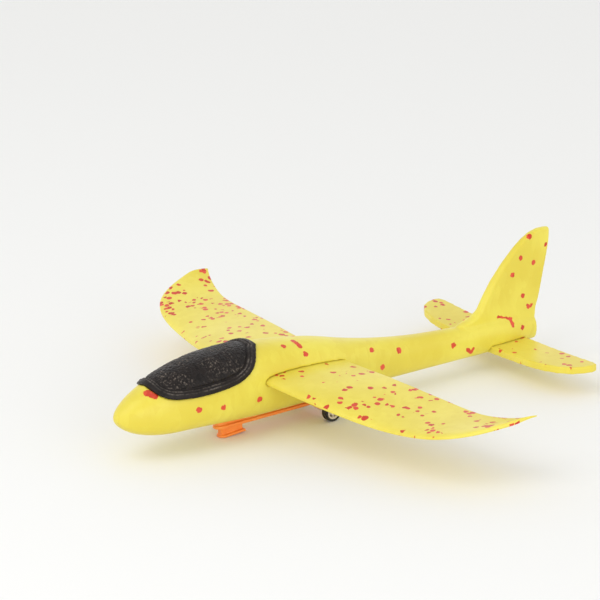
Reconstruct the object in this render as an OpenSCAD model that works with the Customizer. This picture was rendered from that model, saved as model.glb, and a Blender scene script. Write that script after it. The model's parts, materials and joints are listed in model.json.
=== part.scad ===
// Hand and catapult glider: moulded foam airframe on a plastic launch rail with a pair of wheels.
// Nose towards -Y, span along X, +Z up. Z = 0 is the floor that the launch lug and wheels stand on.
// Stations are distances back from the nose tip; the origin lies halfway along the length.

/* [Fuselage] */
// Overall length, nose tip to fin tip
length = 340; // [320:1:360]
// Widest half width of the fuselage
body_half_w = 20.5; // [18:0.5:22]
// Height of the nose tip
nose_z = 29.5; // [28:0.5:32]
// Squareness of the fuselage section, 2 being an ellipse
body_square = 2.3; // [2:0.1:3]

/* [Wing] */
// Half of the wing span
half_span = 172; // [168:0.5:180]
// Thickness of the wing at the root
wing_root_t = 7; // [5:0.5:9]
// Thickness of the wing at the tip
wing_tip_t = 3.4; // [2:0.2:4]
// Gap all round where the wing and tailplane pass through the foam
slot_gap = 0.15; // [0.1:0.05:0.4]

/* [Tail] */
// Thickness of the tailplane
tail_t = 4.6; // [3:0.2:6]
// Height of the tailplane's underside at its root
tail_z = 11.3; // [11:0.1:12]
// Upward slope of each half of the tailplane
tail_dihedral = 3.5; // [2:0.5:5]
// Thickness of the fin where it leaves the fuselage
fin_root_t = 7.5; // [6:0.5:9]
// Thickness of the fin at its top
fin_tip_t = 4.5; // [3:0.5:6]

/* [Canopy] */
// How far the canopy stands proud of the foam
canopy_proud = 1.5; // [1:0.1:2.5]
// Gap between the canopy and its seat
canopy_gap = 0.15; // [0.1:0.05:0.3]

/* [Launch rail] */
// Length of the belly rail
rail_l = 87.5; // [80:0.5:100]
// Width of the rail's flange
rail_w = 8; // [6:0.5:10]
// Width of the rail's web, under the foam
rail_web_w = 5; // [4:0.5:6]
// Upward slope of the rail towards the tail
rail_tilt = 0.9; // [0:0.1:1.2]
// Length of the launch lug under the rail
lug_l = 18.4; // [16:0.2:22]
// Width of the lug's foot
lug_w = 8; // [6:0.5:10]
// Width of the lug's neck
lug_neck_w = 4; // [3:0.5:5]

/* [Wheels] */
// Radius of the tyres
tyre_r = 6; // [5.5:0.25:6.5]
// Width of the tyres
tyre_w = 5.5; // [4:0.5:6]
// Radius of the hubs, where the tyres sit
hub_r = 4.4; // [4.2:0.1:4.8]
// Distance between the outer faces of the wheels
wheels_w = 41; // [38:1:44]
// Radius of the axle
axle_r = 1; // [0.8:0.1:1.2]
// Radial clearance of the axle in its carrier
axle_fit = 0.05; // [0.02:0.01:0.08]

/* [Hidden] */

foam = [0.94, 0.87, 0.36];
far = 100;
eps = 0.01;

// Fuselage key sections: station, half width, underside, top and height of the widest point
body_keys = [
    [0,   1,    13.1, 60.8, 31.5],
    [50,  1,    13.1, 60.6, 31.5],
    [85,  1,    11.2, 58.3, 32],
    [102, 0.99, 10.6, 57.2, 33],
    [125, 0.93, 10.5, 54.7, 33],
    [149, 0.82, 10.9, 50.6, 31.5],
    [176, 0.67, 11,   43.8, 28],
    [200, 0.56, 11.2, 39.1, 25],
    [229, 0.48, 11.3, 35.2, 23],
    [262, 0.40, 11.2, 33,   22],
    [300, 0.32, 11.3, 31,   21],
    [329.4, 0.19, 12.8, 27, 20]];
tail_end = body_keys[len(body_keys) - 1][0];
nose_l = 70;
nose_top_l = 105;
nose_point = 1.33;
nose_flat = 0.05;
nose_low_l = 40;
ring_n = 52;
ring_gap = 6;

// Fin key slices: height, leading edge station, trailing edge station
fin_keys = [
    [20,   263, 329.2],
    [33,   265, 329.8],
    [36,   275, 330.6],
    [40,   281, 332],
    [48,   285.5, 333.8],
    [58,   292.2, 335.8],
    [68,   301,  338],
    [77,   310.4, 339.6],
    [82,   317, 340],
    [85.5, 323.5, 340],
    [87.3, 330.5, 338.6]];
fin_slice_h = 0.7;
fin_te_t = 2.4;
fin_te_w = 2.8;
fin_h = fin_keys[len(fin_keys) - 1][0] + fin_slice_h - fin_keys[0][0];

// Wing key points outwards from the root: x, y and z of the leading edge, y and z of the trailing edge
wing_keys = [
    [0,               -72,   34.3, -6.5, 35],
    [18,              -72,   34.3, -6.5, 35],
    [60,              -64,   30.6, -5,   36.4],
    [100,             -52.5, 26.8, 1,    34.2],
    [135,             -44,   29,   5,    33.6],
    [155,             -33,   32.8, 10.5, 36.2],
    [166,             -17,   36.6, 14.5, 39.4],
    [half_span,       1,     40,   17.5, 41.8]];
wing_steps = 22;
wing_thinning = 1.4;
wing_tip_crowding = 1.35;
foil_n = 13;
foil_camber = 0.12;
foil_top_le = 0.3;
foil_top_te = 0.18;
foil_bulge = 0.62;
foil_bulge_fall = 0.55;
foil_crest = 0.62;
foil_nose_l = 0.08;
foil_nose_h = 0.28;

// Tailplane outline of one half, starting at the root leading edge: x and station
tail_outline = [[0, 288.6], [20, 287.8], [45, 287], [58, 288.6], [69, 292.2], [76.5, 297.5],
                [80.5, 303.8], [82, 310], [81, 314], [76, 315.5], [60, 315.5], [35, 316.8],
                [15, 318.5], [0, 319.5]];

// Edge of the canopy seen from the side, from its front tip round under to its rear: station and height
canopy_edge = [[21.6, 46.8], [22, 45.3], [23.2, 43.6], [25.6, 41.8], [29, 40.1], [33.5, 39],
               [39.1, 38.5], [46.5, 38.3], [54.1, 38.4], [62, 38.9], [70.1, 39.7], [77.3, 41], [82.1, 42.7],
               [86.3, 44.9], [89.9, 47.7], [92.9, 51.2], [95.8, 55], [98.2, 57], [100.4, 57.8]];

// The tailplane's notch is cut right through the belly
notch_depth = 5;

weight_station = 40;
weight_r = 5;
weight_h = 13;
weight_z = 24;
weight_fit = 0.1;

rail_front = 72.5;
rail_z = 6.9;
rail_pivot = 115;
flange_t = 2;
rail_top_z = 13;
peg_r = 1.6;
peg_h = 9;
peg_fit = 0.1;
peg_stations = [rail_front + 10, rail_front + 40, rail_front + 70];
lug_front = 75.6;
lug_foot_t = 1.6;
lug_slope = 1.4;
lug_neck_inset = 1.2;
lug_neck_z = 2.1;

axle_station = 150;
axle_z = tyre_r;
carrier_r = 2.1;
carrier_half_l = 8;
carrier_web_w = rail_w + 0.4;
carrier_web_l = 2 * carrier_r + 0.2;
carrier_web_z = 5.5;
wheel_x = (wheels_w - tyre_w) / 2;
axle_inset = 0.8;
axle_half_l = wheels_w / 2 - axle_inset;
hub_w = tyre_w - 0.6;
hub_rim_t = 1;
hub_web_t = 1.2;
hub_boss_r = 1.9;
hub_boss_inset = 0.4;
spoke_n = 5;
spoke_t = 0.9;
spoke_inset = 0.8;

// Rounded shoulder of the tyre: distances in from the tread and from the side
tyre_shoulder = [[0.7, 0], [0.2, 0.3], [0, 0.9]];
tyre_bead = 0.5;

// Smooth value of column c of a key table at a, through every key
function key_at(t, a, i = 0) = (i >= len(t) - 2 || a < t[i + 1][0]) ? i : key_at(t, a, i + 1);
function key_slope(t, i, c) =
    let (lo = max(i - 1, 0), hi = min(i + 1, len(t) - 1)) (t[hi][c] - t[lo][c]) / (t[hi][0] - t[lo][0]);
function smooth_at(t, a, c) =
    let (i = key_at(t, a), w = t[i + 1][0] - t[i][0], u = (a - t[i][0]) / w)
    (1 + 2 * u) * (1 - u) * (1 - u) * t[i][c] + u * (1 - u) * (1 - u) * w * key_slope(t, i, c)
    + u * u * (3 - 2 * u) * t[i + 1][c] + u * u * (u - 1) * w * key_slope(t, i + 1, c);

function power(v, e) = sign(v) * pow(abs(v), e);
function nose_round(s, l) = s >= l ? 1 : max(nose_flat, sqrt(1 - pow(1 - s / l, 2)));
function y_at(s) = s - length / 2;

// One section of the fuselage at station s, made larger all round by grow
function body_ring(s, grow) =
    let (half_w = body_half_w * smooth_at(body_keys, s, 1) * nose_round(s, nose_l) + grow,
         mid = smooth_at(body_keys, s, 4),
         top_key = smooth_at(body_keys, s, 3),
         low_key = smooth_at(body_keys, s, 2),
         top = (top_key - nose_z) * pow(nose_round(s, nose_top_l), nose_point) + nose_z + grow,
         low = (low_key - nose_z) * nose_round(s, nose_low_l) + nose_z - grow,
         centre = low + (top - low) * (mid - low_key) / (top_key - low_key))
    [for (j = [0:ring_n - 1]) let (a = 360 * j / ring_n, e = 2 / body_square)
        [half_w * power(cos(a), e), y_at(s),
         centre + (sin(a) > 0 ? top - centre : centre - low) * power(sin(a), e)]];

// Stations crowd together where the nose is round and spread out along the boom
function body_stations() = concat(
    [0],
    [for (a = [6:6:84]) nose_l * (1 - cos(a))],
    [for (s = [nose_l:ring_gap:tail_end - ring_gap]) s],
    [tail_end - ring_gap / 3, tail_end]);

// Closed skin over rings that all have the same number of points
module skin(rings) {
    n = len(rings[0]);
    m = len(rings);
    sides = [for (i = [0:m - 2], j = [0:n - 1])
        let (a = i * n + j, b = i * n + (j + 1) % n)
        each [[a, b, b + n], [a, b + n, a + n]]];
    ends = [[for (j = [n - 1:-1:0]) j], [for (j = [0:n - 1]) (m - 1) * n + j]];
    polyhedron([for (ring = rings) each ring], concat(sides, ends), convexity = 6);
}

module body_skin(grow = 0) {
    skin([for (s = body_stations()) body_ring(s, grow)]);
}

// Everything above the canopy's edge, as a prism across the fuselage
module canopy_zone(gap) {
    translate([0, -length / 2, 0])
        rotate([90, 0, 90])
            translate([0, gap, -far / 2])
                linear_extrude(far)
                    polygon(concat([[canopy_edge[0][0] - gap, far]],
                                   [[canopy_edge[0][0] - gap, canopy_edge[0][1]]], canopy_edge,
                                   [[canopy_edge[len(canopy_edge) - 1][0] + gap, far]]));
}

module fin_slice(k) {
    t = fin_root_t + (fin_tip_t - fin_root_t) * (k[0] - fin_keys[0][0]) / fin_h;
    translate([0, 0, k[0]])
        linear_extrude(fin_slice_h)
            hull() {
                translate([0, y_at(k[1] + t / 2)]) circle(t / 2, $fn = 28);
                translate([0, y_at(k[2] - fin_te_t / 2)]) square([fin_te_w, fin_te_t], center = true);
            }
}

module fin() {
    for (i = [0:len(fin_keys) - 2])
        hull() {
            fin_slice(fin_keys[i]);
            fin_slice(fin_keys[i + 1]);
        }
}

// Cambered section at distance x out, grown all round by grow: along its top and back under it
function foil_ring(x, grow) =
    let (r = abs(x),
         le = [smooth_at(wing_keys, r, 1), smooth_at(wing_keys, r, 2)],
         te = [smooth_at(wing_keys, r, 3), smooth_at(wing_keys, r, 4)],
         t = wing_root_t + (wing_tip_t - wing_root_t) * pow(r / half_span, wing_thinning),
         chord = te[0] - le[0] + 2 * grow,
         u_list = [for (j = [0:foil_n - 1]) (1 - cos(180 * (j + 0.5) / foil_n)) / 2])
    concat(
        [for (u = u_list)
            [x, le[0] - grow + chord * u,
             le[1] + (te[1] - le[1]) * u + (foil_top(u) + foil_arch(u)) * t + grow]],
        [for (j = [foil_n - 1:-1:0]) let (u = u_list[j])
            [x, le[0] - grow + chord * u,
             le[1] + (te[1] - le[1]) * u + (foil_low(u) + foil_arch(u)) * t - grow]]);
// Heights of the upper surface, lower surface and camber arch above the chord line at u from the
// leading edge to the trailing edge, as parts of the thickness
function foil_top(u) = foil_top_le + (foil_top_te - foil_top_le) * u
    + foil_bulge * sqrt(sin(180 * pow(u, foil_crest))) * (1 - foil_bulge_fall * u);
function foil_low(u) = u < foil_nose_l ? foil_nose_h * (1 - sqrt(1 - pow(1 - u / foil_nose_l, 2))) : 0;
function foil_arch(u) = foil_camber * 4 * u * (1 - u);

module wing_slot() {
    skin([for (x = [-far / 2, far / 2]) [for (p = foil_ring(0, slot_gap)) [x, p[1], p[2]]]]);
}

// Both halves of the tailplane, drawn flat about the root and turned up, grown by gap and dug down by depth
module tail_halves(gap, depth) {
    for (side = [0, 1])
        mirror([side, 0, 0])
            translate([0, 0, tail_z])
                rotate([0, -tail_dihedral, 0])
                    translate([0, 0, -depth])
                        linear_extrude(tail_t + gap + depth)
                            offset(delta = gap)
                                polygon([for (p = tail_outline) [p[0], y_at(p[1])]]);
}

module fuselage() {
    color(foam)
        difference() {
            union() {
                body_skin();
                fin();
            }
            canopy_zone(0);
            wing_slot();
            tail_halves(slot_gap, notch_depth);
            translate([0, y_at(weight_station), weight_z])
                cylinder(r = weight_r + weight_fit, h = far, $fn = 48);
            tilted() {
                rail_bar(rail_top_z, slot_gap);
                pegs(peg_fit);
            }
        }
}

module main_wing() {
    color(foam)
        skin([for (i = [-wing_steps:wing_steps])
            foil_ring(sign(i) * half_span * (1 - pow(1 - abs(i) / wing_steps, wing_tip_crowding)), 0)]);
}

module tailplane() {
    color(foam)
        tail_halves(0, 0);
}

module canopy() {
    color([0.15, 0.13, 0.13])
        intersection() {
            body_skin(canopy_proud);
            canopy_zone(canopy_gap);
        }
}

module nose_weight() {
    color("silver")
        translate([0, y_at(weight_station), weight_z])
            cylinder(r = weight_r, h = weight_h, $fn = 48);
}

// Round-ended bar over the rail's length, from the web's foot up to height top
module rail_bar(top, gap) {
    translate([0, 0, rail_z + flange_t - eps])
        linear_extrude(top - rail_z - flange_t + eps)
            hull()
                for (s = [rail_front + 1 + rail_web_w / 2, rail_front + rail_l - 1 - rail_web_w / 2])
                    translate([0, y_at(s)]) circle(rail_web_w / 2 + gap, $fn = 32);
}

// Three glued pegs that stand in the foam
module pegs(gap) {
    for (s = peg_stations)
        translate([0, y_at(s), rail_top_z - 1]) cylinder(r = peg_r, h = peg_h + gap, $fn = 24);
}

// Slopes the rail up towards the tail, along the belly
module tilted() {
    translate([0, y_at(rail_pivot), rail_z])
        rotate([rail_tilt, 0, 0])
            translate([0, -y_at(rail_pivot), -rail_z]) children();
}

module launch_rail() {
    color([1, 0.5, 0.15])
        difference() {
            union() {
                tilted() {
                    rail_bar(rail_top_z - slot_gap, 0);
                    translate([0, 0, rail_z])
                        linear_extrude(flange_t)
                            hull()
                                for (s = [rail_front + rail_w / 2, rail_front + rail_l - rail_w / 2])
                                    translate([0, y_at(s)]) circle(rail_w / 2, $fn = 32);
                    pegs(0);
                }
                lug();
                carrier();
            }
            translate([-far / 2, y_at(axle_station), axle_z])
                rotate([0, 90, 0]) cylinder(r = axle_r + axle_fit, h = far, $fn = 48);
        }
}

// Inverted T under the rail: a neck, and a foot with a round nose that slopes up towards the tail
module lug() {
    tilted()
        translate([-lug_neck_w / 2, y_at(lug_front + lug_neck_inset), lug_neck_z])
            cube([lug_neck_w, lug_l - 2 * lug_neck_inset, rail_z + flange_t / 2 - lug_neck_z]);
    intersection() {
        rotate([90, 0, 90])
            translate([0, 0, -lug_w / 2])
                linear_extrude(lug_w)
                    polygon([[y_at(lug_front), 0], [y_at(lug_front + lug_l), lug_slope],
                             [y_at(lug_front + lug_l), lug_slope + lug_foot_t],
                             [y_at(lug_front), lug_foot_t]]);
        linear_extrude(far)
            hull() {
                translate([0, y_at(lug_front + lug_w / 2)]) circle(lug_w / 2, $fn = 32);
                translate([-lug_w / 2, y_at(lug_front + lug_l - lug_w / 2)]) square([lug_w, lug_w / 2]);
            }
    }
}

// Sleeve for the axle with a web up to the rail
module carrier() {
    translate([-carrier_half_l, y_at(axle_station), axle_z])
        rotate([0, 90, 0]) cylinder(r = carrier_r, h = 2 * carrier_half_l, $fn = 40);
    tilted()
        translate([-carrier_web_w / 2, y_at(axle_station) - carrier_web_l / 2, carrier_web_z])
            cube([carrier_web_w, carrier_web_l, rail_z + flange_t / 2 - carrier_web_z]);
}

module axle() {
    color("silver")
        translate([-axle_half_l, y_at(axle_station), axle_z])
            rotate([0, 90, 0]) cylinder(r = axle_r, h = 2 * axle_half_l, $fn = 48);
}

// Wheels are drawn about the axle's line at the middle of the tyre, outer face towards +X
module on_axle(side) {
    translate([side * wheel_x, y_at(axle_station), axle_z])
        rotate([0, side * 90, 0]) children();
}

module hub() {
    difference() {
        translate([0, 0, -hub_w / 2])
            union() {
                rotate_extrude($fn = 64)
                    translate([hub_r - hub_rim_t, 0]) square([hub_rim_t, hub_w]);
                cylinder(r = hub_r - hub_rim_t / 2, h = hub_web_t, $fn = 64);
                cylinder(r = hub_boss_r, h = hub_w - hub_boss_inset, $fn = 40);
                for (i = [0:spoke_n - 1])
                    rotate([0, 0, i * 360 / spoke_n])
                        translate([hub_boss_r - hub_rim_t, -spoke_t / 2, 0])
                            cube([hub_r - hub_boss_r + hub_rim_t / 2, spoke_t, hub_w - spoke_inset]);
            }
        translate([0, 0, -hub_w]) cylinder(r = axle_r, h = hub_w + axle_half_l - wheel_x, $fn = 48);
    }
}

// Outer half of the tyre's profile, from the hub out to the tread: radius and height
function tyre_half() = concat(
    [[hub_r, tyre_w / 2 - tyre_bead], [hub_r + tyre_bead, tyre_w / 2]],
    [for (p = tyre_shoulder) [tyre_r - p[0], tyre_w / 2 - p[1]]]);

module tyre() {
    half = tyre_half();
    rotate_extrude($fn = 72)
        polygon(concat(half, [for (i = [len(half) - 1:-1:0]) [half[i][0], -half[i][1]]]));
}

module hub_left() { color("antiquewhite") on_axle(1) hub(); }
module hub_right() { color("antiquewhite") on_axle(-1) hub(); }
module tyre_left() { color([0.12, 0.1, 0.1]) on_axle(1) tyre(); }
module tyre_right() { color([0.12, 0.1, 0.1]) on_axle(-1) tyre(); }

fuselage();
main_wing();
tailplane();
canopy();
nose_weight();
launch_rail();
axle();
hub_left();
hub_right();
tyre_left();
tyre_right();
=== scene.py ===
"""Moulded foam hand glider with a plastic launch rail: the looks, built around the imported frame."""

import json
import math
import random

import bmesh
import bpy
import numpy as np
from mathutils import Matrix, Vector, noise
from mathutils.bvhtree import BVHTree
from mathutils.kdtree import KDTree

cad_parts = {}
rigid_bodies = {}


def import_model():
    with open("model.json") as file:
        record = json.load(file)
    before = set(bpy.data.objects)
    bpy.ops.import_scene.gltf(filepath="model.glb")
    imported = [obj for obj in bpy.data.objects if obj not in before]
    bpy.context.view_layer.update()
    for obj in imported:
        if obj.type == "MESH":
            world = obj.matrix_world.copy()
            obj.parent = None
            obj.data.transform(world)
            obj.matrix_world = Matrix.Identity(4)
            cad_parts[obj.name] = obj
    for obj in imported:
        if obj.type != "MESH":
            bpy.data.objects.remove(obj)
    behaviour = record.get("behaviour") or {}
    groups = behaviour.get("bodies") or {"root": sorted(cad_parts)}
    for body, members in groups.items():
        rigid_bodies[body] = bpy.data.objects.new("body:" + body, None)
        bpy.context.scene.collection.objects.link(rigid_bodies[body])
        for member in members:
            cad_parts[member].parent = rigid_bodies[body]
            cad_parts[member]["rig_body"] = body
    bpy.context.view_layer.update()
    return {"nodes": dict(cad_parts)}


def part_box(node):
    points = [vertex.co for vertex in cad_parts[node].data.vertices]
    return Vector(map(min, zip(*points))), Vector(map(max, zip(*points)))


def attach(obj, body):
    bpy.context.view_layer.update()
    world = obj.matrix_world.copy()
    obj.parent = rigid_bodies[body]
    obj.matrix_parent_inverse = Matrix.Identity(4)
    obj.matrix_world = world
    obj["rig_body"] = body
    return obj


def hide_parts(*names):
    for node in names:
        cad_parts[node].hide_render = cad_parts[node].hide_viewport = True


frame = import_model()

MM = 0.001

# Extents of the frame's own pieces, which the sizes below are worked out from
body_low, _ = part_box("fuselage")
_, wing_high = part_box("main_wing")
tyre_low, tyre_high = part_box("tyre_left")
hub_low, hub_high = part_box("hub_left")
axle_low, axle_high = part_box("axle")

HALF_SPAN = wing_high.x
AXLE_LINE = (tyre_low + tyre_high) / 2
AXLE_LINE.x = 0


def place(x, station, height):
    """A point from its side distance, its station back from the nose tip and its height, in millimetres."""
    return Vector((x * MM, body_low.y + station * MM, height * MM))


# ---------------------------------------------------------------- camera, floor and light

AIM = Vector((0, -31.5, 77.2)) * MM
AZIMUTH = 53.8
ELEVATION = 18.9
DISTANCE = 2.05
LENS_MM = 197.8
SOFTBOX_DISTANCE = 1.6
FLOOR_HALF = 12

# Strength of the studio's walls and ceiling, and how far up the one starts to pass into the other
WALL_LIGHT = 1.2
CEILING_LIGHT = 0.72
WALL_TOP = 0.15
CEILING_START = 0.85


def direction(azimuth, elevation):
    """Unit vector from the object towards a viewer: azimuth 0 is in front of the nose, 90 is at +X."""
    a, e = math.radians(azimuth), math.radians(elevation)
    return Vector((math.sin(a) * math.cos(e), -math.cos(a) * math.cos(e), math.sin(e)))


def aimed(obj, target, towards, distance):
    """Puts a camera or lamp at a distance from a target and turns it to face it."""
    bpy.context.scene.collection.objects.link(obj)
    obj.location = target + towards * distance
    obj.rotation_euler = (-towards).to_track_quat("-Z", "Y").to_euler()
    return obj


def make_camera():
    lens = bpy.data.cameras.new("camera")
    lens.lens = LENS_MM
    camera = aimed(bpy.data.objects.new("camera", lens), AIM, direction(AZIMUTH, ELEVATION), DISTANCE)
    bpy.context.scene.camera = camera


def softbox(name, azimuth, elevation, size, watts):
    """A square area lamp that faces the object."""
    lamp = bpy.data.lights.new(name, "AREA")
    lamp.size = size
    lamp.energy = watts
    aimed(bpy.data.objects.new(name, lamp), AIM, direction(azimuth, elevation), SOFTBOX_DISTANCE)


def srgb(hex_colour):
    """Linear colour, with alpha, of an sRGB hex string."""
    parts = [int(hex_colour[i:i + 2], 16) / 255 for i in (1, 3, 5)]
    return [c / 12.92 if c <= 0.04045 else ((c + 0.055) / 1.055) ** 2.4 for c in parts] + [1]


def add(tree, kind, inputs=None, **settings):
    """Adds one node: its settings, then each input as a value or as the socket that feeds it."""
    node = tree.nodes.new("ShaderNode" + kind)
    for name, value in settings.items():
        setattr(node, name, value)
    for socket, value in (inputs or {}).items():
        if isinstance(value, bpy.types.NodeSocket):
            tree.links.new(value, node.inputs[socket])
        else:
            node.inputs[socket].default_value = value
    return node


def finish_of(name, **values):
    """A new material with one Principled shader, whose uniform values are set on its own sockets."""
    material = bpy.data.materials.new(name)
    material.use_nodes = True
    tree = material.node_tree
    shader = tree.nodes["Principled BSDF"]
    for socket, value in values.items():
        shader.inputs[socket.replace("_", " ")].default_value = value
    return material, tree, shader


def per(size_mm):
    """Texture scale that makes one cell or wave this many millimetres long."""
    return 1 / (size_mm * MM)


def arithmetic(tree, operation, *values):
    """Result socket of one maths node."""
    return add(tree, "Math", dict(enumerate(values)), operation=operation).outputs[0]


def ramp(tree, value, start, end, low=0.0, high=1.0):
    """Smooth step of a value: low up to start, high from end on."""
    settings = {"Value": value, "From Min": start, "From Max": end, "To Min": low, "To Max": high}
    return add(tree, "MapRange", settings, interpolation_type="SMOOTHSTEP").outputs["Result"]


def mixed(tree, factor, first, second):
    """Colour socket between two colours."""
    return add(tree, "Mix", {0: factor, 6: first, 7: second}, data_type="RGBA").outputs[2]


def set_stage():
    """White studio, lit from all round by its walls, less by its ceiling, and by two softboxes."""
    world = bpy.data.worlds.new("studio")
    bpy.context.scene.world = world
    world.use_nodes = True
    tree = world.node_tree
    upward = add(tree, "SeparateXYZ", {0: add(tree, "TexCoord").outputs["Object"]}).outputs["Z"]
    strength = ramp(tree, upward, WALL_TOP, CEILING_START, WALL_LIGHT, CEILING_LIGHT)
    tree.links.new(strength, tree.nodes["Background"].inputs["Strength"])
    tree.nodes["Background"].inputs["Color"].default_value = srgb("#FFFFFF")
    bpy.context.scene.view_settings.view_transform = "Standard"

    bm = bmesh.new()
    bmesh.ops.create_grid(bm, x_segments=1, y_segments=1, size=FLOOR_HALF)
    mesh = bpy.data.meshes.new("studio_floor")
    bm.to_mesh(mesh)
    bm.free()
    floor = bpy.data.objects.new("studio_floor", mesh)
    bpy.context.scene.collection.objects.link(floor)
    paper, _, _ = finish_of("matt_paper", Base_Color=srgb("#F6F6F4"), Roughness=0.9)
    mesh.materials.append(paper)

    softbox("key_softbox", azimuth=5, elevation=48, size=1.1, watts=6)
    softbox("low_softbox", azimuth=80, elevation=7, size=1.0, watts=5)


# ---------------------------------------------------------------- materials

# Width of a fused bead's cell, its pattern's squash in height, and how far a cell's border wanders
BEAD_MM = 3.7
BEAD_UPRIGHT = 0.45
BORDER_WANDER_MM = 1.2

# Depth of the creases between the beads, and height of the black foam's pebbles
CREASE_MM = 0.04
PEBBLE_BUMP_MM = 0.25

PLASTIC_IOR = 1.53


def bead_cells(tree, position):
    """Cells of the fused foam beads: the random colour of each and the distance to its border.

    The cells stand upright, so a level surface cuts most of them near their middles."""
    squash = [1, 1, BEAD_UPRIGHT]
    upright = add(tree, "VectorMath", {0: position, 1: squash}, operation="MULTIPLY").outputs[0]
    wander = add(tree, "TexNoise", {"Vector": position, "Scale": per(2.5), "Detail": 2})
    bend = add(tree, "VectorMath", {0: wander.outputs["Color"], 1: [0.5, 0.5, 0.5]}, operation="SUBTRACT")
    reach = add(tree, "VectorMath", {0: bend.outputs[0], "Scale": BORDER_WANDER_MM * MM}, operation="SCALE")
    bent = add(tree, "VectorMath", {0: upright, 1: reach.outputs[0]}, operation="ADD").outputs[0]
    cell = add(tree, "TexVoronoi", {"Vector": bent, "Scale": per(BEAD_MM)})
    edge = add(tree, "TexVoronoi", {"Vector": bent, "Scale": per(BEAD_MM)}, feature="DISTANCE_TO_EDGE")
    return cell, edge.outputs["Distance"]


def expanded_foam(name, light, shade, red_at_root=0.0, red_at_tip=0.0, dots=None):
    """Steam-moulded expanded polypropylene: fused beads under a thin closed skin, some of them red.

    The mould leaves the skin smooth enough for a soft gloss over a slightly translucent body, and the
    bead borders show as very shallow creases."""
    material, tree, shader = finish_of(
        name, Roughness=0.36, Specular_IOR_Level=0.4, Subsurface_Weight=0.12, Subsurface_Scale=2.5 * MM)
    shader.inputs["Subsurface Radius"].default_value = [1.0, 0.75, 0.3]
    position = add(tree, "TexCoord").outputs["Object"]
    cell, edge = bead_cells(tree, position)

    # Skin colour drifts over centimetres and differs a little from bead to bead
    drift = add(tree, "TexNoise", {"Vector": position, "Scale": per(45), "Detail": 2}).outputs["Fac"]
    tone = add(tree, "SeparateColor", {0: cell.outputs["Color"]})
    blend = arithmetic(tree, "MULTIPLY_ADD", tone.outputs[1], 0.12, drift)
    skin = mixed(tree, ramp(tree, blend, 0.35, 0.8), srgb(light), srgb(shade))

    # Red beads: a share of the cells, larger towards the tips, or those that were placed one by one
    if dots:
        noise_edge = add(tree, "TexNoise", {"Vector": position, "Scale": per(1.7), "Detail": 2})
        distance = add(tree, "Attribute", attribute_name=dots).outputs["Fac"]
        ragged = arithmetic(tree, "MULTIPLY_ADD", noise_edge.outputs["Fac"], 2.2, distance)
        red = ramp(tree, ragged, 1.0, 1.35, 1.0, 0.0)
    else:
        out = arithmetic(tree, "ABSOLUTE", add(tree, "SeparateXYZ", {0: position}).outputs["X"])
        share = ramp(tree, out, 0.15 * HALF_SPAN, 0.8 * HALF_SPAN, red_at_root, red_at_tip)
        patches = add(tree, "TexNoise", {"Vector": position, "Scale": per(22), "Detail": 1})
        patchy = ramp(tree, patches.outputs["Fac"], 0.35, 0.65, 0.4, 1.5)
        limit = arithmetic(tree, "MULTIPLY", share, patchy)
        chosen = arithmetic(tree, "LESS_THAN", tone.outputs[0], limit)
        size = arithmetic(tree, "MULTIPLY_ADD", tone.outputs[2], 0.2, 0.4)
        gap = arithmetic(tree, "SUBTRACT", cell.outputs["Distance"], size)
        body = ramp(tree, gap, 0.0, 0.07, 1.0, 0.0)
        red = arithmetic(tree, "MULTIPLY", chosen, body)
    red_tone = mixed(tree, tone.outputs[2], srgb("#E25436"), srgb("#C8381F"))
    colour = mixed(tree, red, skin, red_tone)
    tree.links.new(colour, shader.inputs["Base Color"])

    # Very shallow creases between beads, and the fine grain of the mould
    crease = ramp(tree, edge, 0.0, 0.09)
    grain = add(tree, "TexNoise", {"Vector": position, "Scale": per(0.9), "Detail": 3}).outputs["Fac"]
    height = arithmetic(tree, "MULTIPLY_ADD", grain, 0.3, crease)
    bump = add(tree, "Bump", {"Height": height, "Distance": CREASE_MM * MM, "Strength": 0.55})
    tree.links.new(bump.outputs["Normal"], shader.inputs["Normal"])
    return material


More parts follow.
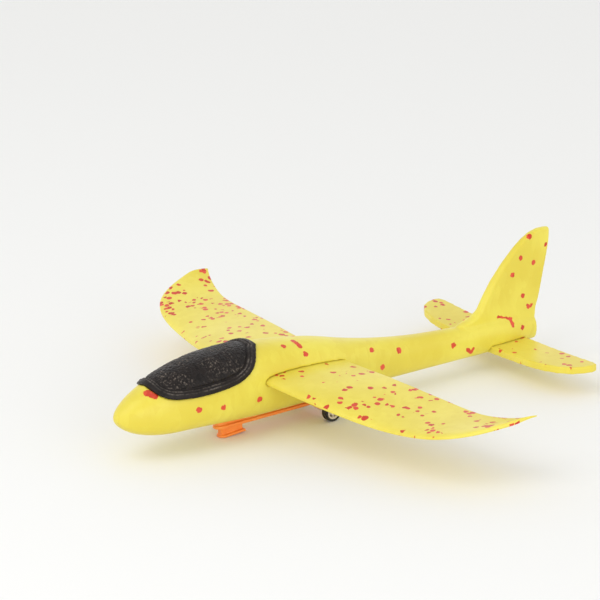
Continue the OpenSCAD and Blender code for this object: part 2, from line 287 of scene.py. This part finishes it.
def black_foam():
    """Black expanded polypropylene: pebbled on its panel, with painted highlights in grey on the panel's
    pebbles and along the crests of its border.
    """
    material, tree, shader = finish_of("black_expanded_foam", IOR=1.31)
    position = add(tree, "TexCoord").outputs["Object"]
    cell, edge = bead_cells(tree, position)
    tone = add(tree, "SeparateColor", {0: cell.outputs["Color"]})
    skin = mixed(tree, tone.outputs[0], srgb("#15100E"), srgb("#211A17"))

    # Painted highlights: grey specks in patches on the tops of the pebbles, and grey streaks along the two
    # crests of the border
    panel = add(tree, "Attribute", attribute_name="panel").outputs["Fac"]
    crest = add(tree, "Attribute", attribute_name="crest").outputs["Fac"]
    pebble = add(tree, "TexVoronoi", {"Vector": position, "Scale": per(1.3)}, feature="SMOOTH_F1")
    patch = add(tree, "TexNoise", {"Vector": position, "Scale": per(14), "Detail": 3}).outputs["Fac"]
    speck = add(tree, "TexNoise", {"Vector": position, "Scale": per(1.4), "Detail": 3}).outputs["Fac"]
    speck_highlight = arithmetic(tree, "MULTIPLY", ramp(tree, speck, 0.5, 0.72), ramp(tree, patch, 0.42, 0.62))
    panel_highlight = arithmetic(tree, "MULTIPLY", speck_highlight, panel)
    crest_highlight_patches = arithmetic(tree, "MULTIPLY", ramp(tree, patch, 0.4, 0.6, 0.2, 1.0), crest)
    crest_highlight = arithmetic(tree, "MULTIPLY", ramp(tree, speck, 0.35, 0.65, 0.1, 1.0), crest_highlight_patches)
    # Grey of the painted highlights: first the specks on the panel, then the streaks on the crests
    skin_with_panel_highlight = mixed(tree, panel_highlight, skin, srgb("#6F655C"))
    tree.links.new(mixed(tree, crest_highlight, skin_with_panel_highlight, srgb("#6A625B")), shader.inputs["Base Color"])
    tree.links.new(ramp(tree, patch, 0.35, 0.65, 0.3, 0.5), shader.inputs["Roughness"])

    # Pebbles with fine pits and the creases between the beads
    pits = add(tree, "TexNoise", {"Vector": position, "Scale": per(0.6), "Detail": 3}).outputs["Fac"]
    crease = ramp(tree, edge, 0.0, 0.12)
    lumps = arithmetic(tree, "MULTIPLY_ADD", pebble.outputs["Distance"], -1.0, crease)
    height = arithmetic(tree, "MULTIPLY_ADD", pits, 0.6, lumps)
    strength = arithmetic(tree, "MULTIPLY_ADD", panel, 0.7, 0.3)
    bump = add(tree, "Bump", {"Height": height, "Distance": PEBBLE_BUMP_MM * MM, "Strength": strength})
    tree.links.new(bump.outputs["Normal"], shader.inputs["Normal"])
    return material


def moulded_plastic(name, light, shade, roughness, grain_mm, grain_depth_mm, clear=0.0):
    """Injection-moulded plastic: an even colour with faint flow clouds under a fine spark-eroded grain.

    The grain is drawn coarser than life, as the real one is too fine to show."""
    material, tree, shader = finish_of(
        name, Roughness=roughness, IOR=PLASTIC_IOR, Subsurface_Weight=clear, Subsurface_Scale=1.5 * MM)
    position = add(tree, "TexCoord").outputs["Object"]
    clouds = add(tree, "TexNoise", {"Vector": position, "Scale": per(14), "Detail": 3, "Distortion": 1.2})
    colour = mixed(tree, ramp(tree, clouds.outputs["Fac"], 0.35, 0.7), srgb(light), srgb(shade))
    tree.links.new(colour, shader.inputs["Base Color"])
    grain = add(tree, "TexNoise", {"Vector": position, "Scale": per(grain_mm), "Detail": 3})
    bump = add(tree, "Bump", {"Height": grain.outputs["Fac"], "Distance": grain_depth_mm * MM})
    tree.links.new(bump.outputs["Normal"], shader.inputs["Normal"])
    return material


def turned_steel():
    """Bright drawn steel with a dull zinc tint and turning rings round the axle's line.

    The rings are drawn coarser than life, as the real ones are too fine to show."""
    material, tree, shader = finish_of("turned_steel", Metallic=1.0, Roughness=0.28)
    position = add(tree, "TexCoord").outputs["Object"]
    stain = add(tree, "TexNoise", {"Vector": position, "Scale": per(3), "Detail": 4}).outputs["Fac"]
    tree.links.new(mixed(tree, stain, srgb("#C9C8C4"), srgb("#A9A8A6")), shader.inputs["Base Color"])
    rings = add(tree, "TexWave", {"Vector": position, "Scale": per(2.5), "Distortion": 0.4})
    bump = add(tree, "Bump", {"Height": rings.outputs["Fac"], "Distance": 0.01 * MM})
    tree.links.new(bump.outputs["Normal"], shader.inputs["Normal"])
    return material


# ---------------------------------------------------------------- shaping

# Bend from which an edge counts as sharp, and the spacing of the points that mark it
SHARP_DEG = 35
SHARP_STEP_MM = 0.4

# The two moves of one fairing round: the second gives back what the first has shrunk
PULL_IN = 0.5
PUSH_OUT = -0.52


def merged_copy(node):
    """A CAD node's mesh as a bmesh, with its loose triangles joined up."""
    bm = bmesh.new()
    bm.from_mesh(frame["nodes"][node].data)
    bmesh.ops.remove_doubles(bm, verts=bm.verts, dist=0.002 * MM)
    return bm


def remeshed(bm, voxel_mm):
    """An even skin of small quads over a closed shape."""
    mesh = bpy.data.meshes.new("work")
    bm.to_mesh(mesh)
    bm.free()
    obj = bpy.data.objects.new("work", mesh)
    bpy.context.scene.collection.objects.link(obj)
    modifier = obj.modifiers.new("even_skin", "REMESH")
    modifier.mode = "VOXEL"
    modifier.voxel_size = voxel_mm * MM
    result = bpy.data.meshes.new_from_object(obj.evaluated_get(bpy.context.evaluated_depsgraph_get()))
    shaped = bmesh.new()
    shaped.from_mesh(result)
    bpy.data.objects.remove(obj)
    bpy.data.meshes.remove(mesh)
    bpy.data.meshes.remove(result)
    return shaped


def sharp_edges(bm):
    """A search tree of points along every edge of a shape that is sharp."""
    points = []
    for edge in bm.edges:
        if len(edge.link_faces) == 2 and edge.calc_face_angle() > math.radians(SHARP_DEG):
            a, b = (v.co for v in edge.verts)
            count = max(1, math.ceil((b - a).length / (SHARP_STEP_MM * MM)))
            points += [a.lerp(b, i / count) for i in range(count + 1)]
    tree = KDTree(len(points))
    for i, point in enumerate(points):
        tree.insert(point, i)
    tree.balance()
    return tree


def faired(bm, weights, rounds):
    """Irons out ripples without shrinking the shape: each round pulls in and pushes back out."""
    bm.verts.index_update()
    points = np.array([v.co for v in bm.verts])
    a, b = np.array([[v.index for v in e.verts] for e in bm.edges]).T
    ends = np.concatenate([a, b])
    others = np.concatenate([b, a])
    count = np.bincount(ends, minlength=len(points))[:, None]
    weights = np.asarray(weights)[:, None]
    for _ in range(rounds):
        for pull in (PULL_IN, PUSH_OUT):
            total = np.stack([np.bincount(ends, points[others, k], len(points)) for k in range(3)], 1)
            points += weights * pull * (total / count - points)
    for vert, point in zip(bm.verts, points):
        vert.co = point


def softened(bm, rounds):
    """Rounds every edge over about the mesh's own cell size."""
    for _ in range(rounds):
        bmesh.ops.smooth_vert(
            bm, verts=bm.verts, factor=0.5, use_axis_x=True, use_axis_y=True, use_axis_z=True)


def smoothstep(value, start, end):
    u = min(max((value - start) / (end - start), 0.0), 1.0)
    return u * u * (3 - 2 * u)


def foam_skin(node, voxel_mm, rounds, soft=2, keep_mm=1.2, free_mm=4.0):
    """A CAD node's shape as moulded foam: smooth over its facets, with small radii on its edges."""
    source = merged_copy(node)
    sharp = sharp_edges(source)
    bm = remeshed(source, voxel_mm)
    weights = [smoothstep(sharp.find(v.co)[2], keep_mm * MM, free_mm * MM) for v in bm.verts]
    faired(bm, weights, rounds)
    softened(bm, soft)
    return bm, sharp


def piece(bm, name, nodes, material, smooth=True):
    """Makes the finished object: it rides on its nodes' body and stands for them."""
    mesh = bpy.data.meshes.new(name)
    bm.normal_update()
    bm.to_mesh(mesh)
    bm.free()
    if smooth:
        mesh.shade_smooth()
    mesh.materials.append(material)
    obj = bpy.data.objects.new(name, mesh)
    bpy.context.scene.collection.objects.link(obj)
    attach(obj, frame["nodes"][nodes[0]]["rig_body"])
    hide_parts(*nodes)
    return obj


# ---------------------------------------------------------------- fuselage

# Red beads of the left side: side distance, station, height and radius
BEADS = [
    (19.5, 48.4, 30.4, 1.9), (20.3, 66, 28.1, 1.8), (20.1, 93, 27.4, 1.9), (9.4, 118.9, 53.7, 1.7),
    (14.5, 132.2, 47.1, 1.9), (9.9, 187.3, 36.7, 1.8), (9.4, 209.5, 31.5, 2.0), (11.9, 194.7, 24.2, 1.8),
    (8.3, 254.9, 25, 1.9), (3, 322, 84.4, 1.8), (3, 337, 75.9, 1.3), (3, 315, 71, 1.6),
    (3, 326.6, 65.6, 1.6), (3, 308.4, 60.6, 1.8), (3, 318, 44.4, 1.6), (3, 315.5, 23.4, 1.6)]

# Drawn-out red beads: one end, the other end and the radius
STREAKS = [
    ((6, 19.4, 44), (10.5, 22.4, 42.4), 2.1), ((5, 129.4, 53.4), (10.5, 130.8, 51.1), 1.7),
    ((7.9, 267.1, 19.6), (7, 270.8, 16.4), 1.2), ((7, 270.8, 16.4), (7.6, 272.3, 18.9), 1.2),
    ((3, 322.3, 36.8), (3, 323.5, 35.2), 1.1), ((3, 323.5, 35.2), (3, 325.8, 36.6), 1.1),
    ((3, 296.6, 34.4), (3, 307.8, 30.6), 0.7), ((3, 307.8, 30.6), (3, 307.2, 25.6), 1.3)]


# Distance that stands for no placed bead being near
NO_BEAD_MM = 9.0

# The furthest that the right side's beads lie behind the left side's
SIDE_SHIFT_MM = 7


def bead_distance(points, surface):
    """Distance in millimetres from each point to the border of the nearest placed red bead.

    The right side has the same beads a few millimetres further back, as no two mouldings match."""
    draw = random.Random(11)
    nearest = np.full(len(points), NO_BEAD_MM)
    tiny = MM * MM * MM
    for first, last, radius in [((x, s, z), (x, s, z), r) for x, s, z, r in BEADS] + STREAKS:
        for side, shift in ((1, 0.0), (-1, draw.uniform(0, SIDE_SHIFT_MM))):
            a, b = (surface.find_nearest(place(side * x, s + shift, z))[0] for x, s, z in (first, last))
            along = np.array(b - a)
            offset = points - np.array(a)
            u = np.clip(offset @ along / max(along @ along, tiny), 0, 1)
            gap = np.linalg.norm(offset - u[:, None] * along, axis=1) / MM - radius
            nearest = np.minimum(nearest, gap)
    return nearest


def set_attribute(mesh, name, values):
    """Stores one number per vertex for a material to read."""
    field = mesh.attributes.new(name, "FLOAT", "POINT")
    field.data.foreach_set("value", np.asarray(values, dtype=np.float32))


def make_fuselage(material):
    bm, _ = foam_skin("fuselage", voxel_mm=0.76, rounds=100, soft=1)
    surface = BVHTree.FromBMesh(bm)
    values = bead_distance(np.array([v.co for v in bm.verts]), surface)
    obj = piece(bm, "fuselage_foam", ["fuselage"], material)
    set_attribute(obj.data, "red_beads", values)
    return obj


# ---------------------------------------------------------------- wing and tailplane

# A section's points share one X within the first, and two sections differ by more than the second
SLICE_FLATNESS_MM = 0.01
SLICE_STEP_MM = 0.05

TIP_RADIUS_MM = 0.5
CREASED_DEG = 30
EDGE_CREASE = 0.7


def slices(bm):
    """Edge loops of a lofted shape, one for each distance along X, with all that joins them removed."""
    across = [e for e in bm.edges if abs(e.verts[0].co.x - e.verts[1].co.x) > SLICE_FLATNESS_MM * MM]
    bmesh.ops.delete(bm, geom=across, context="EDGES")
    bmesh.ops.delete(bm, geom=bm.faces[:], context="FACES_ONLY")
    groups = {}
    for edge in bm.edges:
        groups.setdefault(round(edge.verts[0].co.x / (SLICE_STEP_MM * MM)), []).append(edge)
    return [groups[key] for key in sorted(groups)]


def lofted_quads(node):
    """A CAD loft rebuilt as clean rows of quads between its own sections, with closed ends."""
    bm = merged_copy(node)
    caps = [f for f in bm.faces if abs(f.normal.x) > 0.99]
    bmesh.ops.dissolve_faces(bm, faces=caps)
    loops = slices(bm)
    for first, second in zip(loops, loops[1:]):
        bmesh.ops.bridge_loops(bm, edges=first + second)
    ends = [bmesh.ops.contextual_create(bm, geom=loops[i])["faces"][0] for i in (0, -1)]
    bmesh.ops.recalc_face_normals(bm, faces=bm.faces)
    return bm, ends


def make_wing(material):
    bm, ends = lofted_quads("main_wing")
    rim = [e for face in ends for e in face.edges]
    bmesh.ops.bevel(
        bm, geom=rim, offset=TIP_RADIUS_MM * MM, segments=2, profile=0.5, affect="EDGES", material=-1)
    crease = bm.edges.layers.float.new("crease_edge")
    for edge in bm.edges:
        if edge.calc_face_angle(0) > math.radians(CREASED_DEG):
            edge[crease] = EDGE_CREASE
    obj = piece(bm, "main_wing_foam", ["main_wing"], material)
    round_off = obj.modifiers.new("rounded", "SUBSURF")
    round_off.levels = 2
    round_off.render_levels = 2
    return obj


def make_tailplane(material):
    bm, _ = foam_skin("tailplane", voxel_mm=0.5, rounds=30, soft=1, keep_mm=0.7, free_mm=3)
    return piece(bm, "tailplane_foam", ["tailplane"], material)


# ---------------------------------------------------------------- canopy

# The canopy's raised border, as distances in from its edge and heights, in millimetres
RIM = [(0, 0), (1, 0.35), (2.4, 0.5), (3.3, 0.75), (3.9, 0), (4.4, 0), (5, 0.35), (5.7, -0.9),
       (6.3, -0.9), (7.3, -0.25), (10, -0.1)]
PANEL_START = 6.2
# Lines of the border's two crests, along which the material paints grey highlight streaks, and their width
CRESTS = (3.2, 5.0)
CREST_WIDTH = 0.75

# Marks that the mould's steam vents leave on the canopy: place, radius and kind
VENTS = [((11.2, 52.7, 54.5), 1.8, "pit"), ((15.4, 69.5, 53.7), 1.9, "ring"),
         ((15.6, 82.1, 54.3), 0.8, "stud")]
PIT_MM = 0.55
RING_MM = 0.4
RING_HOLLOW_MM = 0.3
STUD_MM = 0.6

# Size of the pebbles, and their height on the border and the height that the panel adds
PEBBLE_MM = 2.7
BORDER_PEBBLES_MM = 0.05
PANEL_PEBBLES_MM = 0.17


def rim_height(d):
    """Height of the canopy's border d millimetres in from its edge, eased between the listed points."""
    for (d0, h0), (d1, h1) in zip(RIM, RIM[1:]):
        if d < d1:
            return h0 + (h1 - h0) * smoothstep(d, d0, d1)
    return RIM[-1][1]


def pebbles(point):
    """Rounded relief of the fused beads, from 0 in the creases to 1 on top of a bead."""
    near, _ = noise.voronoi(point / (PEBBLE_MM * MM))
    return min(1.0, (near[1] - near[0]) * 2.2)


def vent_height(point):
    """Height in millimetres of the vent marks at a point, the same on both sides."""
    mirrored = Vector((abs(point.x), point.y, point.z))
    total = 0.0
    for spot, radius, kind in VENTS:
        d = (mirrored - place(*spot)).length / MM
        if kind == "pit":
            total -= PIT_MM * (1 - smoothstep(d, 0.6 * radius, radius))
        elif kind == "ring":
            hollow = RING_HOLLOW_MM * (1 - smoothstep(d, 0.8, radius))
            total += RING_MM * (1 - smoothstep(abs(d - radius), 0.1, 0.6)) - hollow
        else:
            total += STUD_MM * (1 - smoothstep(d, 0.2, radius))
    return total


def make_canopy(material):
    bm, rim = foam_skin("canopy", voxel_mm=0.36, rounds=60, soft=1, keep_mm=0.5, free_mm=2)
    bm.normal_update()
    moves = []
    panel = []
    crest = []
    for vert in bm.verts:
        outside = smoothstep(vert.normal.z, 0.0, 0.25)
        d = rim.find(vert.co)[2] / MM
        panel.append(smoothstep(d, PANEL_START, PANEL_START + 1))
        # Mask of the border's two crest lines, where the material paints grey highlight streaks
        crest.append(1 - smoothstep(min(abs(d - line) for line in CRESTS), 0.1, CREST_WIDTH))
        pebbled = BORDER_PEBBLES_MM + PANEL_PEBBLES_MM * panel[-1]
        relief = pebbled * (pebbles(vert.co) - 0.5) + vent_height(vert.co)
        moves.append(vert.normal * (outside * (rim_height(d) + relief) * MM))
    for vert, move in zip(bm.verts, moves):
        vert.co += move
    softened(bm, 1)
    obj = piece(bm, "canopy_foam", ["canopy"], material)
    set_attribute(obj.data, "panel", panel)
    set_attribute(obj.data, "crest", crest)
    return obj


# ---------------------------------------------------------------- rail, wheels, axle and weight


def make_rail(material):
    bm = remeshed(merged_copy("launch_rail"), voxel_mm=0.28)
    softened(bm, rounds=4)
    return piece(bm, "launch_rail_plastic", ["launch_rail"], material)


def turned(bm, profile, centre, side, steps):
    """Spins a closed outline of (distance along X, radius) points round a line along X."""
    verts = [bm.verts.new(centre + Vector((side * x, 0, radius))) for x, radius in profile]
    edges = [bm.edges.new((a, b)) for a, b in zip(verts, verts[1:] + verts[:1])]
    bmesh.ops.spin(bm, geom=verts + edges, cent=centre, axis=(1, 0, 0), angle=math.tau, steps=steps,
                   use_merge=True)
    bmesh.ops.recalc_face_normals(bm, faces=bm.faces)


def make_tyre(side_name, side, material):
    """A tyre with one groove round its tread, rounded shoulders and a lip beside the hub."""
    outer = (tyre_high.z - tyre_low.z) / 2
    inner = (hub_high.z - hub_low.z) / 2
    half = (tyre_high.x - tyre_low.x) / 2
    shoulder = 0.9 * MM
    groove = 0.35 * MM
    groove_side = [(0.2 * MM, outer - groove), (groove, outer - 0.1 * MM), (0.45 * MM, outer)]
    corner = [math.radians(a) for a in (0, 22, 45, 68, 90)]
    round_out = [(half - shoulder + shoulder * math.sin(a), outer - shoulder + shoulder * math.cos(a))
                 for a in corner]
    lip = [(half, inner + 0.6 * MM), (half - 0.15 * MM, inner + 0.2 * MM), (half - 0.5 * MM, inner)]
    one_side = groove_side + round_out + lip
    other_side = [(-x, r) for x, r in reversed(one_side)]
    bm = bmesh.new()
    centre = AXLE_LINE + Vector((side * (tyre_low.x + tyre_high.x) / 2, 0, 0))
    turned(bm, one_side + other_side, centre, side, steps=96)
    return piece(bm, "tyre_" + side_name + "_rubber", ["tyre_" + side_name], material)


def make_hub(side_name, material):
    bm = remeshed(merged_copy("hub_" + side_name), voxel_mm=0.11)
    softened(bm, rounds=3)
    return piece(bm, "hub_" + side_name + "_plastic", ["hub_" + side_name], material)


def make_axle(material):
    radius = (axle_high.z - axle_low.z) / 2
    half = axle_high.x
    chamfer = 0.3 * MM
    bm = bmesh.new()
    outline = [(-half, 0), (-half, radius - chamfer), (-half + chamfer, radius),
               (half - chamfer, radius), (half, radius - chamfer), (half, 0)]
    turned(bm, outline, AXLE_LINE, side=1, steps=40)
    bmesh.ops.remove_doubles(bm, verts=bm.verts, dist=0.005 * MM)
    return piece(bm, "axle_steel", ["axle"], material, smooth=False)


def make_weight(material):
    bm = merged_copy("nose_weight")
    rim_radius = 0.5 * MM
    rims = [e for e in bm.edges if e.calc_face_angle(0) > 1]
    bmesh.ops.bevel(bm, geom=rims, offset=rim_radius, segments=3, profile=0.5, affect="EDGES", material=-1)
    return piece(bm, "nose_weight_steel", ["nose_weight"], material, smooth=False)


make_camera()
set_stage()
foam_plain = expanded_foam("yellow_expanded_foam", "#EBDE58", "#E1CE46", dots="red_beads")
foam_flecked = expanded_foam(
    "flecked_expanded_foam", "#EEDF5E", "#E5D24A", red_at_root=0.16, red_at_tip=0.25)
orange = moulded_plastic(
    "orange_polypropylene", "#FF9A42", "#FB8C36", roughness=0.34, grain_mm=0.4, grain_depth_mm=0.01,
    clear=0.1)
cream = moulded_plastic(
    "cream_polystyrene", "#EADFCD", "#DDD0BB", roughness=0.3, grain_mm=0.3, grain_depth_mm=0.004)
black_vinyl = moulded_plastic(
    "black_vinyl", "#100D0C", "#181412", roughness=0.42, grain_mm=0.35, grain_depth_mm=0.012)
steel = turned_steel()
make_fuselage(foam_plain)
make_wing(foam_flecked)
make_tailplane(foam_flecked)
make_canopy(black_foam())
make_rail(orange)
for side_name, side in (("left", 1), ("right", -1)):
    make_tyre(side_name, side, black_vinyl)
    make_hub(side_name, cream)
make_axle(steel)
make_weight(steel)
